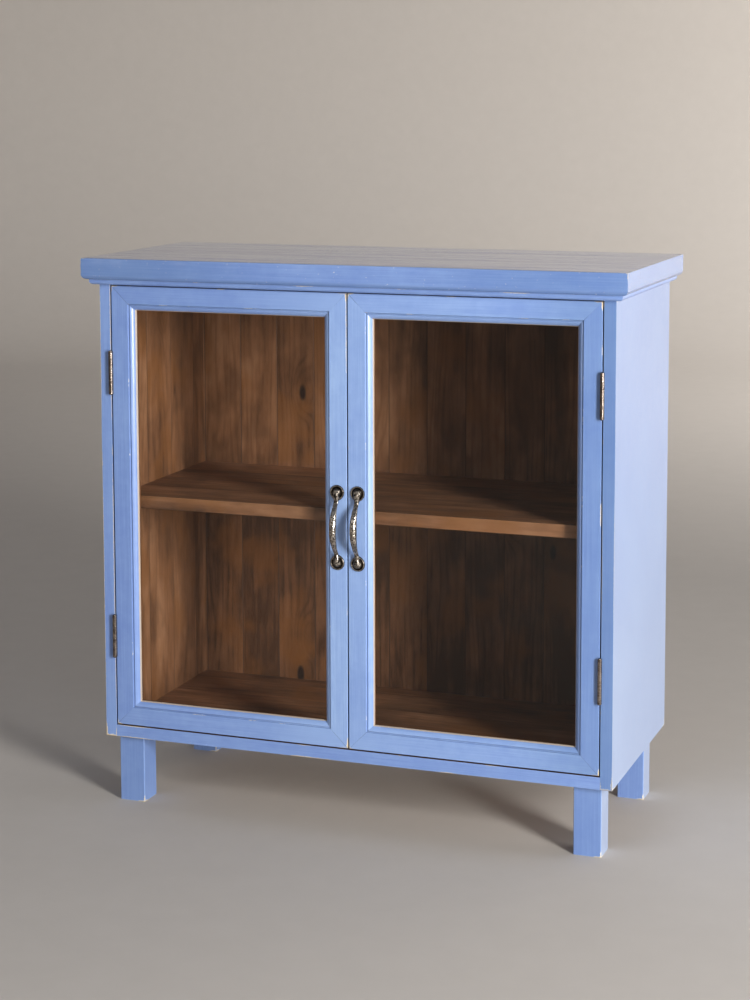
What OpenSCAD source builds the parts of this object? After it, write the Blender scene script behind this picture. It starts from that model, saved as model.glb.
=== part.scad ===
// Low cabinet with two glazed doors, one shelf and four short square legs.
// Millimetres, +Z up, front towards -Y. The origin lies on the floor under the middle of the object.

/* [Body] */
// Width across the top board
overall_width = 815; // [680:1:1000]
// Depth from the front edges of the sides to the back
body_depth = 330; // [280:1:420]
// Height from the floor to the top surface
overall_height = 817; // [700:1:950]
// Thickness of each side panel
side_thickness = 17; // [16:0.5:22]
// Thickness of the bottom board
bottom_thickness = 17.5; // [15:0.5:24]
// Thickness of the back panel
back_thickness = 8; // [5:0.5:12]
// Width of the rebate in each side that takes the back panel
back_rebate = 8; // [5:0.5:11]
// Depth of the two top rails from front to back
top_rail_depth = 60; // [40:1:80]
// Height of the two top rails
top_rail_height = 20; // [17:0.5:28]

/* [Top] */
// Thickness of the top board
top_thickness = 31.5; // [24:0.5:40]
// How far the top board stands past the sides and the front
top_overhang = 20; // [16:0.5:30]
// Radius along the lower edge of the top board
top_round = 8; // [4:0.5:10]
// Radius along the upper edge of the top board
top_ease = 1.5; // [0.5:0.5:3]
// Height of the moulding strip under the top board
moulding_height = 7.5; // [5:0.5:12]
// How far the moulding strip stands out from the body
moulding_reach = 11; // [8:0.5:15]
// Radius along the lower edge of the moulding strip
moulding_round = 5; // [2:0.5:5]

/* [Shelf] */
// Height of the shelf's upper face above the bottom board
shelf_rise = 345.5; // [200:0.5:480]
// Thickness of the shelf
shelf_thickness = 20; // [16:0.5:26]
// Distance from the front of the body to the shelf's front edge
shelf_setback = 26; // [24:0.5:60]
// Depth of the housing in each side that carries the shelf
housing_depth = 5; // [3:0.5:8]
// Radius along the shelf's front edges
shelf_ease = 1.5; // [0.5:0.5:4]

/* [Legs] */
// Height of the legs, from the floor to the body
leg_height = 100; // [60:1:160]
// Width of a square leg
leg_width = 40; // [30:1:60]
// Distance from the front of the body to the front legs
front_leg_inset = 10; // [0:1:30]
// Distance from the back of the body to the rear legs
rear_leg_inset = 22; // [0:1:40]
// Width of the small bevel along a leg's edges
leg_bevel = 1; // [0.5:0.5:3]
// Diameter of the threaded stud that holds a leg
stud_diameter = 8; // [6:1:10]
// Length of the stud inside the leg
stud_in_leg = 45; // [30:1:50]
// Length of the stud inside the bottom board
stud_in_board = 13; // [8:0.5:14]

/* [Doors] */
// Gap around and between the doors
door_gap = 2; // [1.5:0.1:3]
// Thickness of a door
door_thickness = 19; // [18:0.5:24]
// Width of a door's frame pieces, from the outer edge to the glass opening
frame_width = 36; // [32:0.5:60]
// Width of the moulding along the inner edge of the frame
ovolo_width = 9.4; // [6:0.1:12]
// Depth of the small step where that moulding begins
step_depth = 1.2; // [0.5:0.1:2]
// Width of the narrow flat inside the step
step_width = 1.8; // [1:0.1:3]
// Depth of the moulding where it meets the glass opening
sight_depth = 9; // [6:0.1:10]
// How far the moulding bulges past a straight bevel
ovolo_bulge = 1.1; // [0.4:0.1:2]
// Depth from the front of the door to the glass
glass_depth = 10.5; // [10.1:0.1:12]
// Width of the rebate that takes the glass
glass_rebate = 8; // [6:0.5:10]
// Thickness of the glass
glass_thickness = 3; // [2:0.5:4]
// Space left around the edges of the glass
glass_play = 0.75; // [0.3:0.05:1.5]
// Width of the beads that hold the glass
bead_width = 7; // [5:0.5:9]
// Radius along the inner edge of a bead
bead_round = 3; // [1:0.5:3.5]
// Radius along the outer edges of a door
door_ease = 0.8; // [0.4:0.1:2]

/* [Hinges] */
// Length of a hinge
hinge_length = 63; // [50:1:80]
// Distance from a door's top edge to the middle of its upper hinge
upper_hinge_drop = 128; // [60:1:180]
// Distance from a door's bottom edge to the middle of its lower hinge
lower_hinge_rise = 134; // [60:1:180]
// Diameter of a hinge's barrel
barrel_diameter = 6.5; // [5.5:0.1:8]
// Number of knuckles in a hinge
knuckle_count = 5; // [3:2:7]
// Thickness of a hinge leaf
leaf_thickness = 1.5; // [1.2:0.1:1.6]
// Width of a hinge leaf, from the pin's centre
leaf_width = 17.5; // [15:0.5:18]
// Diameter of a hinge pin
pin_diameter = 2.8; // [2:0.1:3.4]
// Diameter of a pin's domed ends
pin_head_diameter = 5.2; // [4.2:0.1:5.5]
// Height of a pin's domed ends
pin_head_height = 1.6; // [1:0.1:2.5]
// Gap between the barrel and the front of the body
barrel_clearance = 0.05; // [0.05:0.05:0.5]

/* [Screws] */
// Diameter of a hinge screw's shank
screw_diameter = 3; // [2.5:0.1:3.5]
// Diameter of a hinge screw's head
screw_head_diameter = 5.8; // [5:0.1:6.5]
// Length of a hinge screw
screw_length = 14; // [10:0.5:15]
// Depth of the cross slot in a screw's head
slot_depth = 0.8; // [0.4:0.1:1]
// Width of the cross slot in a screw's head
slot_width = 0.8; // [0.5:0.1:1]
// Distance between the screws of a hinge leaf
screw_spacing = 21; // [16:0.5:23]
// Distance from the hinge pin to the screws
screw_offset = 10.5; // [9:0.5:12]
// Length of the screws that hold the top board
top_screw_length = 38; // [30:1:42]
// Length of the screws that hold the back panel
back_screw_length = 25; // [20:1:30]
// Diameter of the dowels in the body's corner joints
dowel_diameter = 6; // [5:1:8]
// Length of a dowel in the side panel
dowel_in_side = 10; // [8:0.5:12]
// Length of a dowel in the board or rail
dowel_in_board = 18; // [12:1:24]

/* [Handles] */
// Distance between the screws of a handle
handle_spacing = 101.6; // [76:0.2:128]
// How far the middle of a handle lies below the middle of its door
handle_drop = 6.75; // [0:0.25:60]
// Distance from the door's meeting edge to the handle's middle line
handle_edge = 14.5; // [12:0.5:17]
// How far a handle's bar stands out from the door, to its middle line
handle_rise = 19.5; // [16:0.5:26]
// How far the bar's thin ends stand out from the door, to their middle line
bar_end_rise = 3.5; // [3:0.1:5]
// Distance from a handle's screw to where the bar begins to rise
neck_length = 12; // [11:0.5:18]
// Diameter of the bar in its middle
bar_diameter = 10; // [7:0.1:12]
// Diameter of the bar's thin ends
bar_end_diameter = 5.5; // [4:0.1:7]
// Diameter of the domed round at each end of a handle
rosette_diameter = 21.5; // [16:0.5:23]
// Height of the domed round
rosette_height = 6.5; // [4:0.5:9]
// Height of the straight rim under the dome
rosette_rim = 1; // [0.5:0.1:2]
// Diameter of a handle's screw
handle_screw_diameter = 4; // [3:0.5:4]
// Length of a handle's screw inside the handle
handle_screw_reach = 5; // [4:0.5:5]

/* [Catch] */
// Width of the magnetic catch
catch_width = 62; // [50:1:80]
// Depth of the magnetic catch from front to back
catch_depth = 13; // [10:0.5:18]
// Height of the magnetic catch
catch_height = 11; // [8:0.5:14]
// Width of a strike plate
strike_width = 22; // [16:1:26]
// Height of a strike plate
strike_height = 10; // [8:0.5:12]
// Thickness of a strike plate
strike_thickness = 1; // [0.6:0.1:1.2]
// Distance from the middle of the cabinet to the middle of a strike plate
strike_offset = 24; // [20:0.5:26]

/* [Clearances] */
// Clearance around screws, studs and dowels
screw_play = 0.05; // [0.02:0.01:0.2]
// Radial clearance between a hinge pin and its knuckles
pin_play = 0.05; // [0.02:0.01:0.1]
// Gap between neighbouring knuckles, and under a pin's ends
knuckle_play = 0.2; // [0.1:0.05:0.4]
// Gap between the closed doors and what they close against
stop_play = 0.3; // [0.2:0.05:1]

/* [Hidden] */

$fn = 32;
// Overlap of a cutting shape past the face that it opens
over = 1;
// Overlap of two cutting shapes that meet end to end
lap = 0.01;
// Width of a screw's cross slot, as a share of its head
slot_share = 0.64;
// Places of the screws and dowels, as shares of the width, the depth or a rail's depth
top_screw_share = 0.7;
back_screw_share = 0.42;
bottom_dowel_share = 0.36;
front_rail_share = 0.65;
rear_rail_share = 0.5;
// Places along the arch of a handle's bar, as shares of half its length, and the shape of the arch
arch_shares = [-1, -0.7, -0.38, 0, 0.38, 0.7, 1];
arch_power = 2.4;
paint = "cornflowerblue";
stained = "sienna";
brass = "goldenrod";
bronze = "dimgray";

handle_reach = handle_rise + bar_diameter / 2;
front_reach = max(handle_reach, top_overhang);
total_depth = body_depth + front_reach;
front_y = front_reach - total_depth / 2;
back_y = front_y + body_depth;
half_width = overall_width / 2 - top_overhang;
inner_half = half_width - side_thickness;
back_face_y = back_y - back_thickness;
body_top = overall_height - top_thickness;
floor_z = leg_height + bottom_thickness;
moulding_bottom = body_top - moulding_height;
shelf_height = floor_z + shelf_rise;
shelf_bottom = shelf_height - shelf_thickness;
shelf_front_y = front_y + shelf_setback;
rail_bottom = body_top - top_rail_height;

door_width = (2 * inner_half - 3 * door_gap) / 2;
door_bottom = floor_z + door_gap;
door_top = moulding_bottom - door_gap;
door_height = door_top - door_bottom;
door_back_y = front_y + door_thickness;
stop_y = door_back_y + strike_thickness + stop_play;
glass_back = glass_depth + glass_thickness;
rebate_edge = frame_width - glass_rebate;

hinge_x = inner_half - door_gap / 2;
hinge_y = front_y - barrel_diameter / 2 - barrel_clearance;
knuckle_pitch = hinge_length / knuckle_count;
leaf_back_y = hinge_y + leaf_width;
// Heights of the two hinges of a door
upper_hinge_height = door_top - upper_hinge_drop;
lower_hinge_height = door_bottom + lower_hinge_rise;
hinge_heights = [upper_hinge_height, lower_hinge_height];

handle_x = door_gap / 2 + handle_edge;
handle_height = (door_bottom + door_top) / 2 - handle_drop;
arch_half = handle_spacing / 2 - neck_length;
strike_z = rail_bottom - catch_height / 2;

// Points of a quarter round: centre, radius, first angle, going up or down by 90 degrees
function quarter(c, r, first, turn = 90, steps = 6) =
  [for (i = [0:steps]) [c[0] + r * cos(first + turn * i / steps), c[1] + r * sin(first + turn * i / steps)]];

// Points from a to b along a curve that bulges by h to the left of the straight line
function bulge(a, b, h, steps = 6) =
  let (d = b - a, n = [-d[1], d[0]] / norm(d))
  [for (i = [0:steps]) a + d * i / steps + n * h * 4 * (i / steps) * (1 - i / steps)];

// Mirrors its children to the left side for s = -1 and leaves them on the right for s = 1
module on_side(s) {
  if (s < 0) mirror([1, 0, 0]) children();
  else children();
}

// Turns a drawing of X and depth into a solid that runs up Z from z1 to z2
module upright(z1, z2) {
  translate([0, 0, z1]) linear_extrude(z2 - z1) children();
}

// Turns a drawing of X and height into a solid that runs back from y1 to y2
module backward(y1, y2) {
  translate([0, y2, 0]) rotate([90, 0, 0]) linear_extrude(y2 - y1) children();
}

// Turns a drawing of depth and height into a solid that runs across from x1 to x2
module across(x1, x2) {
  translate([x1, 0, 0]) rotate([90, 0, 90]) linear_extrude(x2 - x1) children();
}

// Flat-headed screw that points up Z, with the face of its head at z = 0
module wood_screw(d, head_d, long) {
  head = (head_d - d) / 2;
  difference() {
    union() {
      cylinder(h = head, d1 = head_d, d2 = d);
      translate([0, 0, head]) cylinder(h = long - head - d / 2, d = d);
      translate([0, 0, long - d / 2]) cylinder(h = d / 2, d1 = d, d2 = d / 4);
    }
    for (a = [0, 90])
      rotate([0, 0, a]) translate([-head_d * slot_share / 2, -slot_width / 2, -over])
        cube([head_d * slot_share, slot_width, over + slot_depth]);
  }
}

// Hole for a flat-headed screw, with its countersink
module screw_hole(d, head_d, long) {
  head = (head_d - d) / 2;
  translate([0, 0, -over]) cylinder(h = over, d = head_d + 2 * screw_play);
  cylinder(h = head, d1 = head_d + 2 * screw_play, d2 = d + 2 * screw_play);
  translate([0, 0, head - lap]) cylinder(h = long - head + lap + screw_play, d = d + 2 * screw_play);
}

// Puts its children at each hinge screw of one hinge, pointing outwards along +X from the face at x
module at_leaf_screws(x, z) {
  for (k = [-1, 0, 1])
    translate([x, hinge_y + screw_offset, z + k * screw_spacing]) rotate([0, 90, 0]) children();
}

// Positions of the screws that hold the top board: one row in each top rail
top_screw_xs = [for (k = [-1, 0, 1]) k * inner_half * top_screw_share];
rail_ys = [front_y + top_rail_depth * front_rail_share, back_face_y - top_rail_depth * rear_rail_share];
module at_top_screws() {
  for (x = top_screw_xs, y = rail_ys) translate([x, y, rail_bottom]) children();
}

// Screws of the back panel: into the bottom board, the shelf and the rear top rail
back_screw_xs = [for (k = [-2:2]) k * inner_half * back_screw_share];
back_screw_zs = [
  leg_height + bottom_thickness / 2,
  shelf_height - shelf_thickness / 2,
  rail_bottom + top_rail_height / 2
];
module at_back_screws() {
  for (x = back_screw_xs, z = back_screw_zs) translate([x, back_y, z]) rotate([90, 0, 0]) children();
}

// Dowels between a side and the boards that meet it, for the right side
bottom_dowel_ys = [for (k = [-1, 0, 1]) (front_y + back_face_y) / 2 + k * body_depth * bottom_dowel_share];
dowel_places = concat(
  [for (y = bottom_dowel_ys) [y, leg_height + bottom_thickness / 2]],
  [for (y = rail_ys) [y, rail_bottom + top_rail_height / 2]]
);
module at_dowels() {
  for (p = dowel_places) translate([inner_half, p[0], p[1]]) rotate([0, 90, 0]) children();
}
module dowel_holes() {
  at_dowels() translate([0, 0, -dowel_in_board - screw_play])
    cylinder(h = dowel_in_board + dowel_in_side + 2 * screw_play, d = dowel_diameter + 2 * screw_play);
}

// Middle of a leg, in the corner given by two signs
function leg_place(sx, sy) = [
  sx * (inner_half - leg_width / 2),
  sy < 0 ? front_y + front_leg_inset + leg_width / 2 : back_y - rear_leg_inset - leg_width / 2
];
module at_legs() {
  for (sx = [-1, 1], sy = [-1, 1]) translate(concat(leg_place(sx, sy), [leg_height])) children();
}

module top_board() {
  side = half_width + top_overhang;
  front = front_y - top_overhang;
  color(paint) intersection() {
    across(-side, side) polygon(concat(
      quarter([front + top_round, body_top + top_round], top_round, 270, -90),
      quarter([front + top_ease, overall_height - top_ease], top_ease, 180, -90),
      [[back_y, overall_height], [back_y, body_top]]
    ));
    backward(front - over, back_y + over) polygon(concat(
      quarter([side - top_round, body_top + top_round], top_round, 270, 90),
      quarter([side - top_ease, overall_height - top_ease], top_ease, 0, 90),
      quarter([top_ease - side, overall_height - top_ease], top_ease, 90, 90),
      quarter([top_round - side, body_top + top_round], top_round, 180, 90)
    ));
    difference() {
      translate([-side - over, front - over, body_top - over])
        cube([2 * (side + over), total_depth + 2 * over, top_thickness + 2 * over]);
      at_top_screws() screw_hole(screw_diameter, screw_head_diameter, top_screw_length);
    }
  }
}

// Section of the strip under the top board, standing out from 0 towards +X
module moulding_section() {
  polygon(concat(
    [[0, body_top], [0, moulding_bottom]],
    quarter([moulding_reach - moulding_round, moulding_bottom + moulding_round], moulding_round, 270, 90),
    [[moulding_reach, body_top]]
  ));
}

// Plan of the body and its strip, whose diagonals cut the strip's mitres
module front_mitre_plan() {
  far = half_width + moulding_reach;
  polygon([
    [-half_width, front_y], [half_width, front_y],
    [far, front_y - moulding_reach], [-far, front_y - moulding_reach]
  ]);
}

module front_top_moulding() {
  far = half_width + moulding_reach;
  color(paint) intersection() {
    across(-far, far) translate([front_y, 0]) mirror([1, 0]) moulding_section();
    upright(moulding_bottom - over, body_top + over) front_mitre_plan();
  }
}

module side_top_moulding(s) {
  far = half_width + moulding_reach;
  color(paint) on_side(s) intersection() {
    backward(front_y - moulding_reach, back_y) translate([half_width, 0]) moulding_section();
    upright(moulding_bottom - over, body_top + over) polygon([
      [half_width, front_y], [half_width, back_y], [far, back_y], [far, front_y - moulding_reach]
    ]);
  }
}

module side_panel(s) {
  color(paint) on_side(s) difference() {
    translate([inner_half, front_y, leg_height]) cube([side_thickness, body_depth, body_top - leg_height]);
    translate([inner_half - over, back_face_y, leg_height - over])
      cube([back_rebate + over, back_thickness + over, body_top - leg_height + 2 * over]);
    translate([inner_half - over, shelf_front_y, shelf_bottom])
      cube([housing_depth + over, back_face_y - shelf_front_y, shelf_thickness]);
    for (z = hinge_heights) {
      translate([inner_half - over, front_y - over, z - hinge_length / 2])
        cube([leaf_thickness + over, leaf_back_y - front_y + over, hinge_length]);
      at_leaf_screws(inner_half, z) screw_hole(screw_diameter, screw_head_diameter, screw_length);
    }
    dowel_holes();
  }
}

module bottom_board() {
  color(stained) difference() {
    translate([-inner_half, front_y, leg_height])
      cube([2 * inner_half, body_depth - back_thickness, bottom_thickness]);
    for (s = [-1, 1]) on_side(s) dowel_holes();
    at_legs() translate([0, 0, -over]) cylinder(h = stud_in_board + over, d = stud_diameter + 2 * screw_play);
    at_back_screws() screw_hole(screw_diameter, screw_head_diameter, back_screw_length);
  }
}

module front_top_rail() {
  color(stained) difference() {
    across(-inner_half, inner_half) polygon([
      [front_y, body_top], [front_y, moulding_bottom], [stop_y, moulding_bottom], [stop_y, rail_bottom],
      [front_y + top_rail_depth, rail_bottom], [front_y + top_rail_depth, body_top]
    ]);
    for (s = [-1, 1]) on_side(s) dowel_holes();
    at_top_screws() screw_hole(screw_diameter, screw_head_diameter, top_screw_length);
    at_catch_screws() catch_screw_hole();
  }
}

module rear_top_rail() {
  color(stained) difference() {
    translate([-inner_half, back_face_y - top_rail_depth, rail_bottom])
      cube([2 * inner_half, top_rail_depth, top_rail_height]);
    for (s = [-1, 1]) on_side(s) dowel_holes();
    at_top_screws() screw_hole(screw_diameter, screw_head_diameter, top_screw_length);
    at_back_screws() screw_hole(screw_diameter, screw_head_diameter, back_screw_length);
  }
}

module back_panel() {
  wide = 2 * (inner_half + back_rebate);
  color(stained) difference() {
    translate([-wide / 2, back_face_y, leg_height]) cube([wide, back_thickness, body_top - leg_height]);
    at_back_screws() screw_hole(screw_diameter, screw_head_diameter, back_screw_length);
  }
}

module shelf() {
  far = inner_half + housing_depth;
  color(stained) difference() {
    across(-far, far) polygon(concat(
      quarter([shelf_front_y + shelf_ease, shelf_bottom + shelf_ease], shelf_ease, 270, -90, 3),
      quarter([shelf_front_y + shelf_ease, shelf_height - shelf_ease], shelf_ease, 180, -90, 3),
      [[back_face_y, shelf_height], [back_face_y, shelf_bottom]]
    ));
    at_back_screws() screw_hole(screw_diameter, screw_head_diameter, back_screw_length);
  }
}

module leg(sx, sy) {
  w = leg_width / 2;
  b = leg_bevel;
  color(paint) translate(leg_place(sx, sy)) difference() {
    upright(0, leg_height) polygon([
      [-w, b - w], [b - w, -w], [w - b, -w], [w, b - w], [w, w - b], [w - b, w], [b - w, w], [-w, w - b]
    ]);
    translate([0, 0, leg_height - stud_in_leg - screw_play])
      cylinder(h = stud_in_leg + over, d = stud_diameter + 2 * screw_play);
  }
}

module leg_studs() {
  color(brass) at_legs() translate([0, 0, -stud_in_leg])
    cylinder(h = stud_in_leg + stud_in_board - screw_play, d = stud_diameter);
}

module body_dowels() {
  color("burlywood") for (s = [-1, 1]) on_side(s) at_dowels() translate([0, 0, -dowel_in_board])
    cylinder(h = dowel_in_board + dowel_in_side, d = dowel_diameter);
}

module top_screws() {
  color(brass) at_top_screws() wood_screw(screw_diameter, screw_head_diameter, top_screw_length);
}

module back_screws() {
  color(brass) at_back_screws() wood_screw(screw_diameter, screw_head_diameter, back_screw_length);
}

// Knuckles and plate of one leaf of a right-hand hinge, about the pin's line; moving leaves take odd knuckles
module hinge_leaf(moving) {
  mine = moving ? 1 : 0;
  plate_x = moving ? -door_gap / 2 - leaf_thickness : door_gap / 2;
  low = -hinge_length / 2;
  difference() {
    union() {
      for (i = [mine:2:knuckle_count - 1])
        translate([0, 0, low + i * knuckle_pitch + knuckle_play / 2])
          cylinder(h = knuckle_pitch - knuckle_play, d = barrel_diameter);
      difference() {
        translate([plate_x, 0, low]) cube([leaf_thickness, leaf_width, hinge_length]);
        for (i = [1 - mine:2:knuckle_count - 1])
          translate([0, 0, low + i * knuckle_pitch - knuckle_play / 2])
            cylinder(h = knuckle_pitch + knuckle_play, d = barrel_diameter + 2 * knuckle_play);
      }
    }
    translate([0, 0, low - over]) cylinder(h = hinge_length + 2 * over, d = pin_diameter + 2 * pin_play);
    for (k = [-1, 0, 1])
      translate([moving ? plate_x + leaf_thickness : plate_x, screw_offset, k * screw_spacing])
        rotate([0, moving ? -90 : 90, 0]) screw_hole(screw_diameter, screw_head_diameter, screw_length);
  }
}

module fixed_leaf(s, z) {
  color(brass) on_side(s) translate([hinge_x, hinge_y, z]) hinge_leaf(false);
}

module door_leaf(s, z) {
  color(brass) on_side(s) translate([hinge_x, hinge_y, z]) hinge_leaf(true);
}

module hinge_pin(s, z) {
  long = hinge_length / 2;
  color(brass) on_side(s) translate([hinge_x, hinge_y, z]) rotate_extrude() polygon(concat(
    [[0, -long - pin_head_height]],
    [for (a = [15:15:90]) [pin_head_diameter / 2 * sin(a), -long - pin_head_height * cos(a)]],
    [[pin_diameter / 2, -long], [pin_diameter / 2, long]],
    [for (a = [0:15:75]) [pin_head_diameter / 2 * cos(a), long + pin_head_height * sin(a)]],
    [[0, long + pin_head_height]]
  ));
}

module side_hinge_screws() {
  color(brass) for (s = [-1, 1], z = hinge_heights) on_side(s)
    at_leaf_screws(inner_half, z) wood_screw(screw_diameter, screw_head_diameter, screw_length);
}

// The catch's two screws
module at_catch_screws() {
  out = catch_width / 2 - screw_head_diameter;
  for (s = [-1, 1])
    translate([s * out, stop_y + catch_depth / 2, rail_bottom - catch_height]) children();
}
module catch_screw_hole() {
  screw_hole(screw_diameter, screw_head_diameter, catch_height + screw_length);
}

module door_catch() {
  color("saddlebrown") difference() {
    translate([-catch_width / 2, stop_y, rail_bottom - catch_height])
      cube([catch_width, catch_depth, catch_height]);
    at_catch_screws() catch_screw_hole();
  }
}

module catch_screws() {
  color(brass) at_catch_screws() wood_screw(screw_diameter, screw_head_diameter, catch_height + screw_length);
}

// Section of a door's frame piece: distance from the outer edge, then depth from the front
module frame_section() {
  shoulder = frame_width - ovolo_width;
  polygon(concat(
    quarter([door_ease, door_ease], door_ease, 180, 90, 3),
    [[shoulder, 0], [shoulder, step_depth]],
    bulge([shoulder + step_width, step_depth], [frame_width, sight_depth], -ovolo_bulge),
    [[frame_width, glass_depth], [rebate_edge, glass_depth], [rebate_edge, door_thickness]],
    quarter([door_ease, door_thickness - door_ease], door_ease, 90, 90, 3)
  ));
}

// Section of a bead, in the same place as the frame's rebate
module bead_section() {
  inner = rebate_edge + bead_width;
  polygon(concat(
    [[rebate_edge, glass_back], [inner, glass_back]],
    quarter([inner - bead_round, door_thickness - bead_round], bead_round, 0, 90, 4),
    [[rebate_edge, door_thickness]]
  ));
}

// A right door's front view as four parts, cut along its corners' diagonals; its meeting edge is at x = 0
module door_part_view(part) {
  w = door_width;
  h = door_height;
  m = frame_width + over;
  polygon(
    part == "hinge" ? [[w, 0], [w, h], [w - m, h - m], [w - m, m]] :
    part == "meeting" ? [[0, 0], [m, m], [m, h - m], [0, h]] :
    part == "top" ? [[0, h], [m, h - m], [w - m, h - m], [w, h]] :
    [[0, 0], [w, 0], [w - m, m], [m, m]]
  );
}

// Runs a section along one of the four sides of a right-hand door, with mitred ends
module around_door(s, part) {
  on_side(s) translate([door_gap / 2, front_y, door_bottom]) intersection() {
    if (part == "hinge")
      translate([door_width, 0, 0]) mirror([1, 0, 0]) linear_extrude(door_height) children();
    else if (part == "meeting")
      linear_extrude(door_height) children();
    else if (part == "top")
      translate([0, 0, door_height]) rotate([0, 90, 0]) linear_extrude(door_width) children();
    else
      mirror([0, 0, 1]) rotate([0, 90, 0]) linear_extrude(door_width) children();
    backward(-over, door_thickness + over) door_part_view(part);
  }
}

// Screws of a door: six in its hinges and one in its strike plate
module at_door_screws(s) {
  on_side(s) {
    for (z = hinge_heights, k = [-1, 0, 1])
      translate([inner_half - door_gap, hinge_y + screw_offset, z + k * screw_spacing]) rotate([0, -90, 0])
        children();
    translate([strike_offset, door_back_y + strike_thickness, strike_z]) rotate([90, 0, 0]) children();
  }
}

// Screws of a handle, driven from the back of the door
module at_handle_screws(s) {
  for (k = [-1, 1])
    on_side(s) translate([handle_x, door_back_y, handle_height + k * handle_spacing / 2]) rotate([90, 0, 0])
      children();
}

module door_piece(s, part) {
  color(paint) difference() {
    around_door(s, part) frame_section();
    if (part == "hinge")
      for (z = hinge_heights)
        on_side(s) translate([inner_half - door_gap - leaf_thickness, front_y - over, z - hinge_length / 2])
          cube([leaf_thickness + over, leaf_back_y - front_y + over, hinge_length]);
    if (part == "meeting")
      at_handle_screws(s) translate([0, 0, -over])
        cylinder(h = door_thickness + 2 * over, d = handle_screw_diameter + 2 * screw_play);
    at_door_screws(s) screw_hole(screw_diameter, screw_head_diameter, screw_length);
  }
}

module bead(s, part) {
  color(stained) around_door(s, part) bead_section();
}

module glass(s) {
  edge = rebate_edge + glass_play;
  color("lightcyan", 0.4) on_side(s)
    translate([door_gap / 2 + edge, front_y + glass_depth, door_bottom + edge])
      cube([door_width - 2 * edge, glass_thickness, door_height - 2 * edge]);
}

// Middle line and radius of a handle's arched bar, for t from -1 at its lower end to 1 at its upper end
function bar_point(t) = [
  0,
  -bar_end_rise - (handle_rise - bar_end_rise) * (1 - pow(abs(t), arch_power)),
  t * arch_half
];
function bar_radius(t) = bar_end_diameter / 2 + (bar_diameter - bar_end_diameter) / 2 * pow(cos(90 * t), 1.5);

// Domed round at a handle's end, standing up Z from its flat base
module rosette() {
  dome = rosette_height - rosette_rim;
  rotate_extrude() polygon(concat(
    [[0, 0], [rosette_diameter / 2 - rosette_rim, 0]],
    [for (a = [0:15:75]) [rosette_diameter / 2 * cos(a), rosette_rim + dome * sin(a)]],
    [[0, rosette_height]]
  ));
}

module handle(s) {
  color(bronze) on_side(s) translate([handle_x, front_y, handle_height]) difference() {
    union() {
      for (i = [0:len(arch_shares) - 2])
        hull() for (t = [arch_shares[i], arch_shares[i + 1]])
          translate(bar_point(t)) sphere(r = bar_radius(t), $fn = 20);
      translate([0, -bar_end_rise, -handle_spacing / 2])
        cylinder(h = neck_length, d1 = 2 * bar_end_rise, d2 = bar_end_diameter);
      translate([0, -bar_end_rise, arch_half])
        cylinder(h = neck_length, d1 = bar_end_diameter, d2 = 2 * bar_end_rise);
      for (k = [-1, 1]) translate([0, 0, k * handle_spacing / 2]) rotate([90, 0, 0]) rosette();
    }
    for (k = [-1, 1])
      translate([0, over, k * handle_spacing / 2]) rotate([90, 0, 0])
        cylinder(h = handle_screw_reach + over, d = handle_screw_diameter + 2 * screw_play);
  }
}

module handle_screws(s) {
  reach = door_thickness + handle_screw_reach - screw_play;
  head = handle_screw_diameter / 2;
  head_d = handle_screw_diameter * 2;
  color(brass) at_handle_screws(s) difference() {
    union() {
      cylinder(h = reach, d = handle_screw_diameter);
      translate([0, 0, -head]) cylinder(h = head, d = head_d);
    }
    for (a = [0, 90])
      rotate([0, 0, a]) translate([-head_d * slot_share / 2, -slot_width / 2, -head - over])
        cube([head_d * slot_share, slot_width, over + slot_depth]);
  }
}

module door_screws(s) {
  color(brass) at_door_screws(s) wood_screw(screw_diameter, screw_head_diameter, screw_length);
}

module strike_plate(s) {
  color("silver") difference() {
    on_side(s) translate([strike_offset - strike_width / 2, door_back_y, strike_z - strike_height / 2])
      cube([strike_width, strike_thickness, strike_height]);
    at_door_screws(s) screw_hole(screw_diameter, screw_head_diameter, screw_length);
  }
}

top_board();
front_top_moulding();
side_top_moulding(-1);  // left_top_moulding
side_top_moulding(1);  // right_top_moulding
side_panel(-1);  // left_side
side_panel(1);  // right_side
bottom_board();
front_top_rail();
rear_top_rail();
back_panel();
shelf();
leg(-1, -1);  // front_left_leg
leg(1, -1);  // front_right_leg
leg(-1, 1);  // rear_left_leg
leg(1, 1);  // rear_right_leg
leg_studs();
body_dowels();
top_screws();
back_screws();
fixed_leaf(-1, upper_hinge_height);  // left_upper_fixed_leaf
fixed_leaf(-1, lower_hinge_height);  // left_lower_fixed_leaf
fixed_leaf(1, upper_hinge_height);  // right_upper_fixed_leaf
fixed_leaf(1, lower_hinge_height);  // right_lower_fixed_leaf
hinge_pin(-1, upper_hinge_height);  // left_upper_hinge_pin
hinge_pin(-1, lower_hinge_height);  // left_lower_hinge_pin
hinge_pin(1, upper_hinge_height);  // right_upper_hinge_pin
hinge_pin(1, lower_hinge_height);  // right_lower_hinge_pin
side_hinge_screws();
door_catch();
catch_screws();
door_piece(-1, "hinge");  // left_door_hinge_stile
door_piece(-1, "meeting");  // left_door_meeting_stile
door_piece(-1, "top");  // left_door_top_rail
door_piece(-1, "bottom");  // left_door_bottom_rail
glass(-1);  // left_glass
bead(-1, "hinge");  // left_hinge_side_bead
bead(-1, "meeting");  // left_meeting_side_bead
bead(-1, "top");  // left_top_bead
bead(-1, "bottom");  // left_bottom_bead
handle(-1);  // left_handle
handle_screws(-1);  // left_handle_screws
door_leaf(-1, upper_hinge_height);  // left_upper_door_leaf
door_leaf(-1, lower_hinge_height);  // left_lower_door_leaf
door_screws(-1);  // left_door_screws
strike_plate(-1);  // left_strike_plate
door_piece(1, "hinge");  // right_door_hinge_stile
door_piece(1, "meeting");  // right_door_meeting_stile
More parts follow.
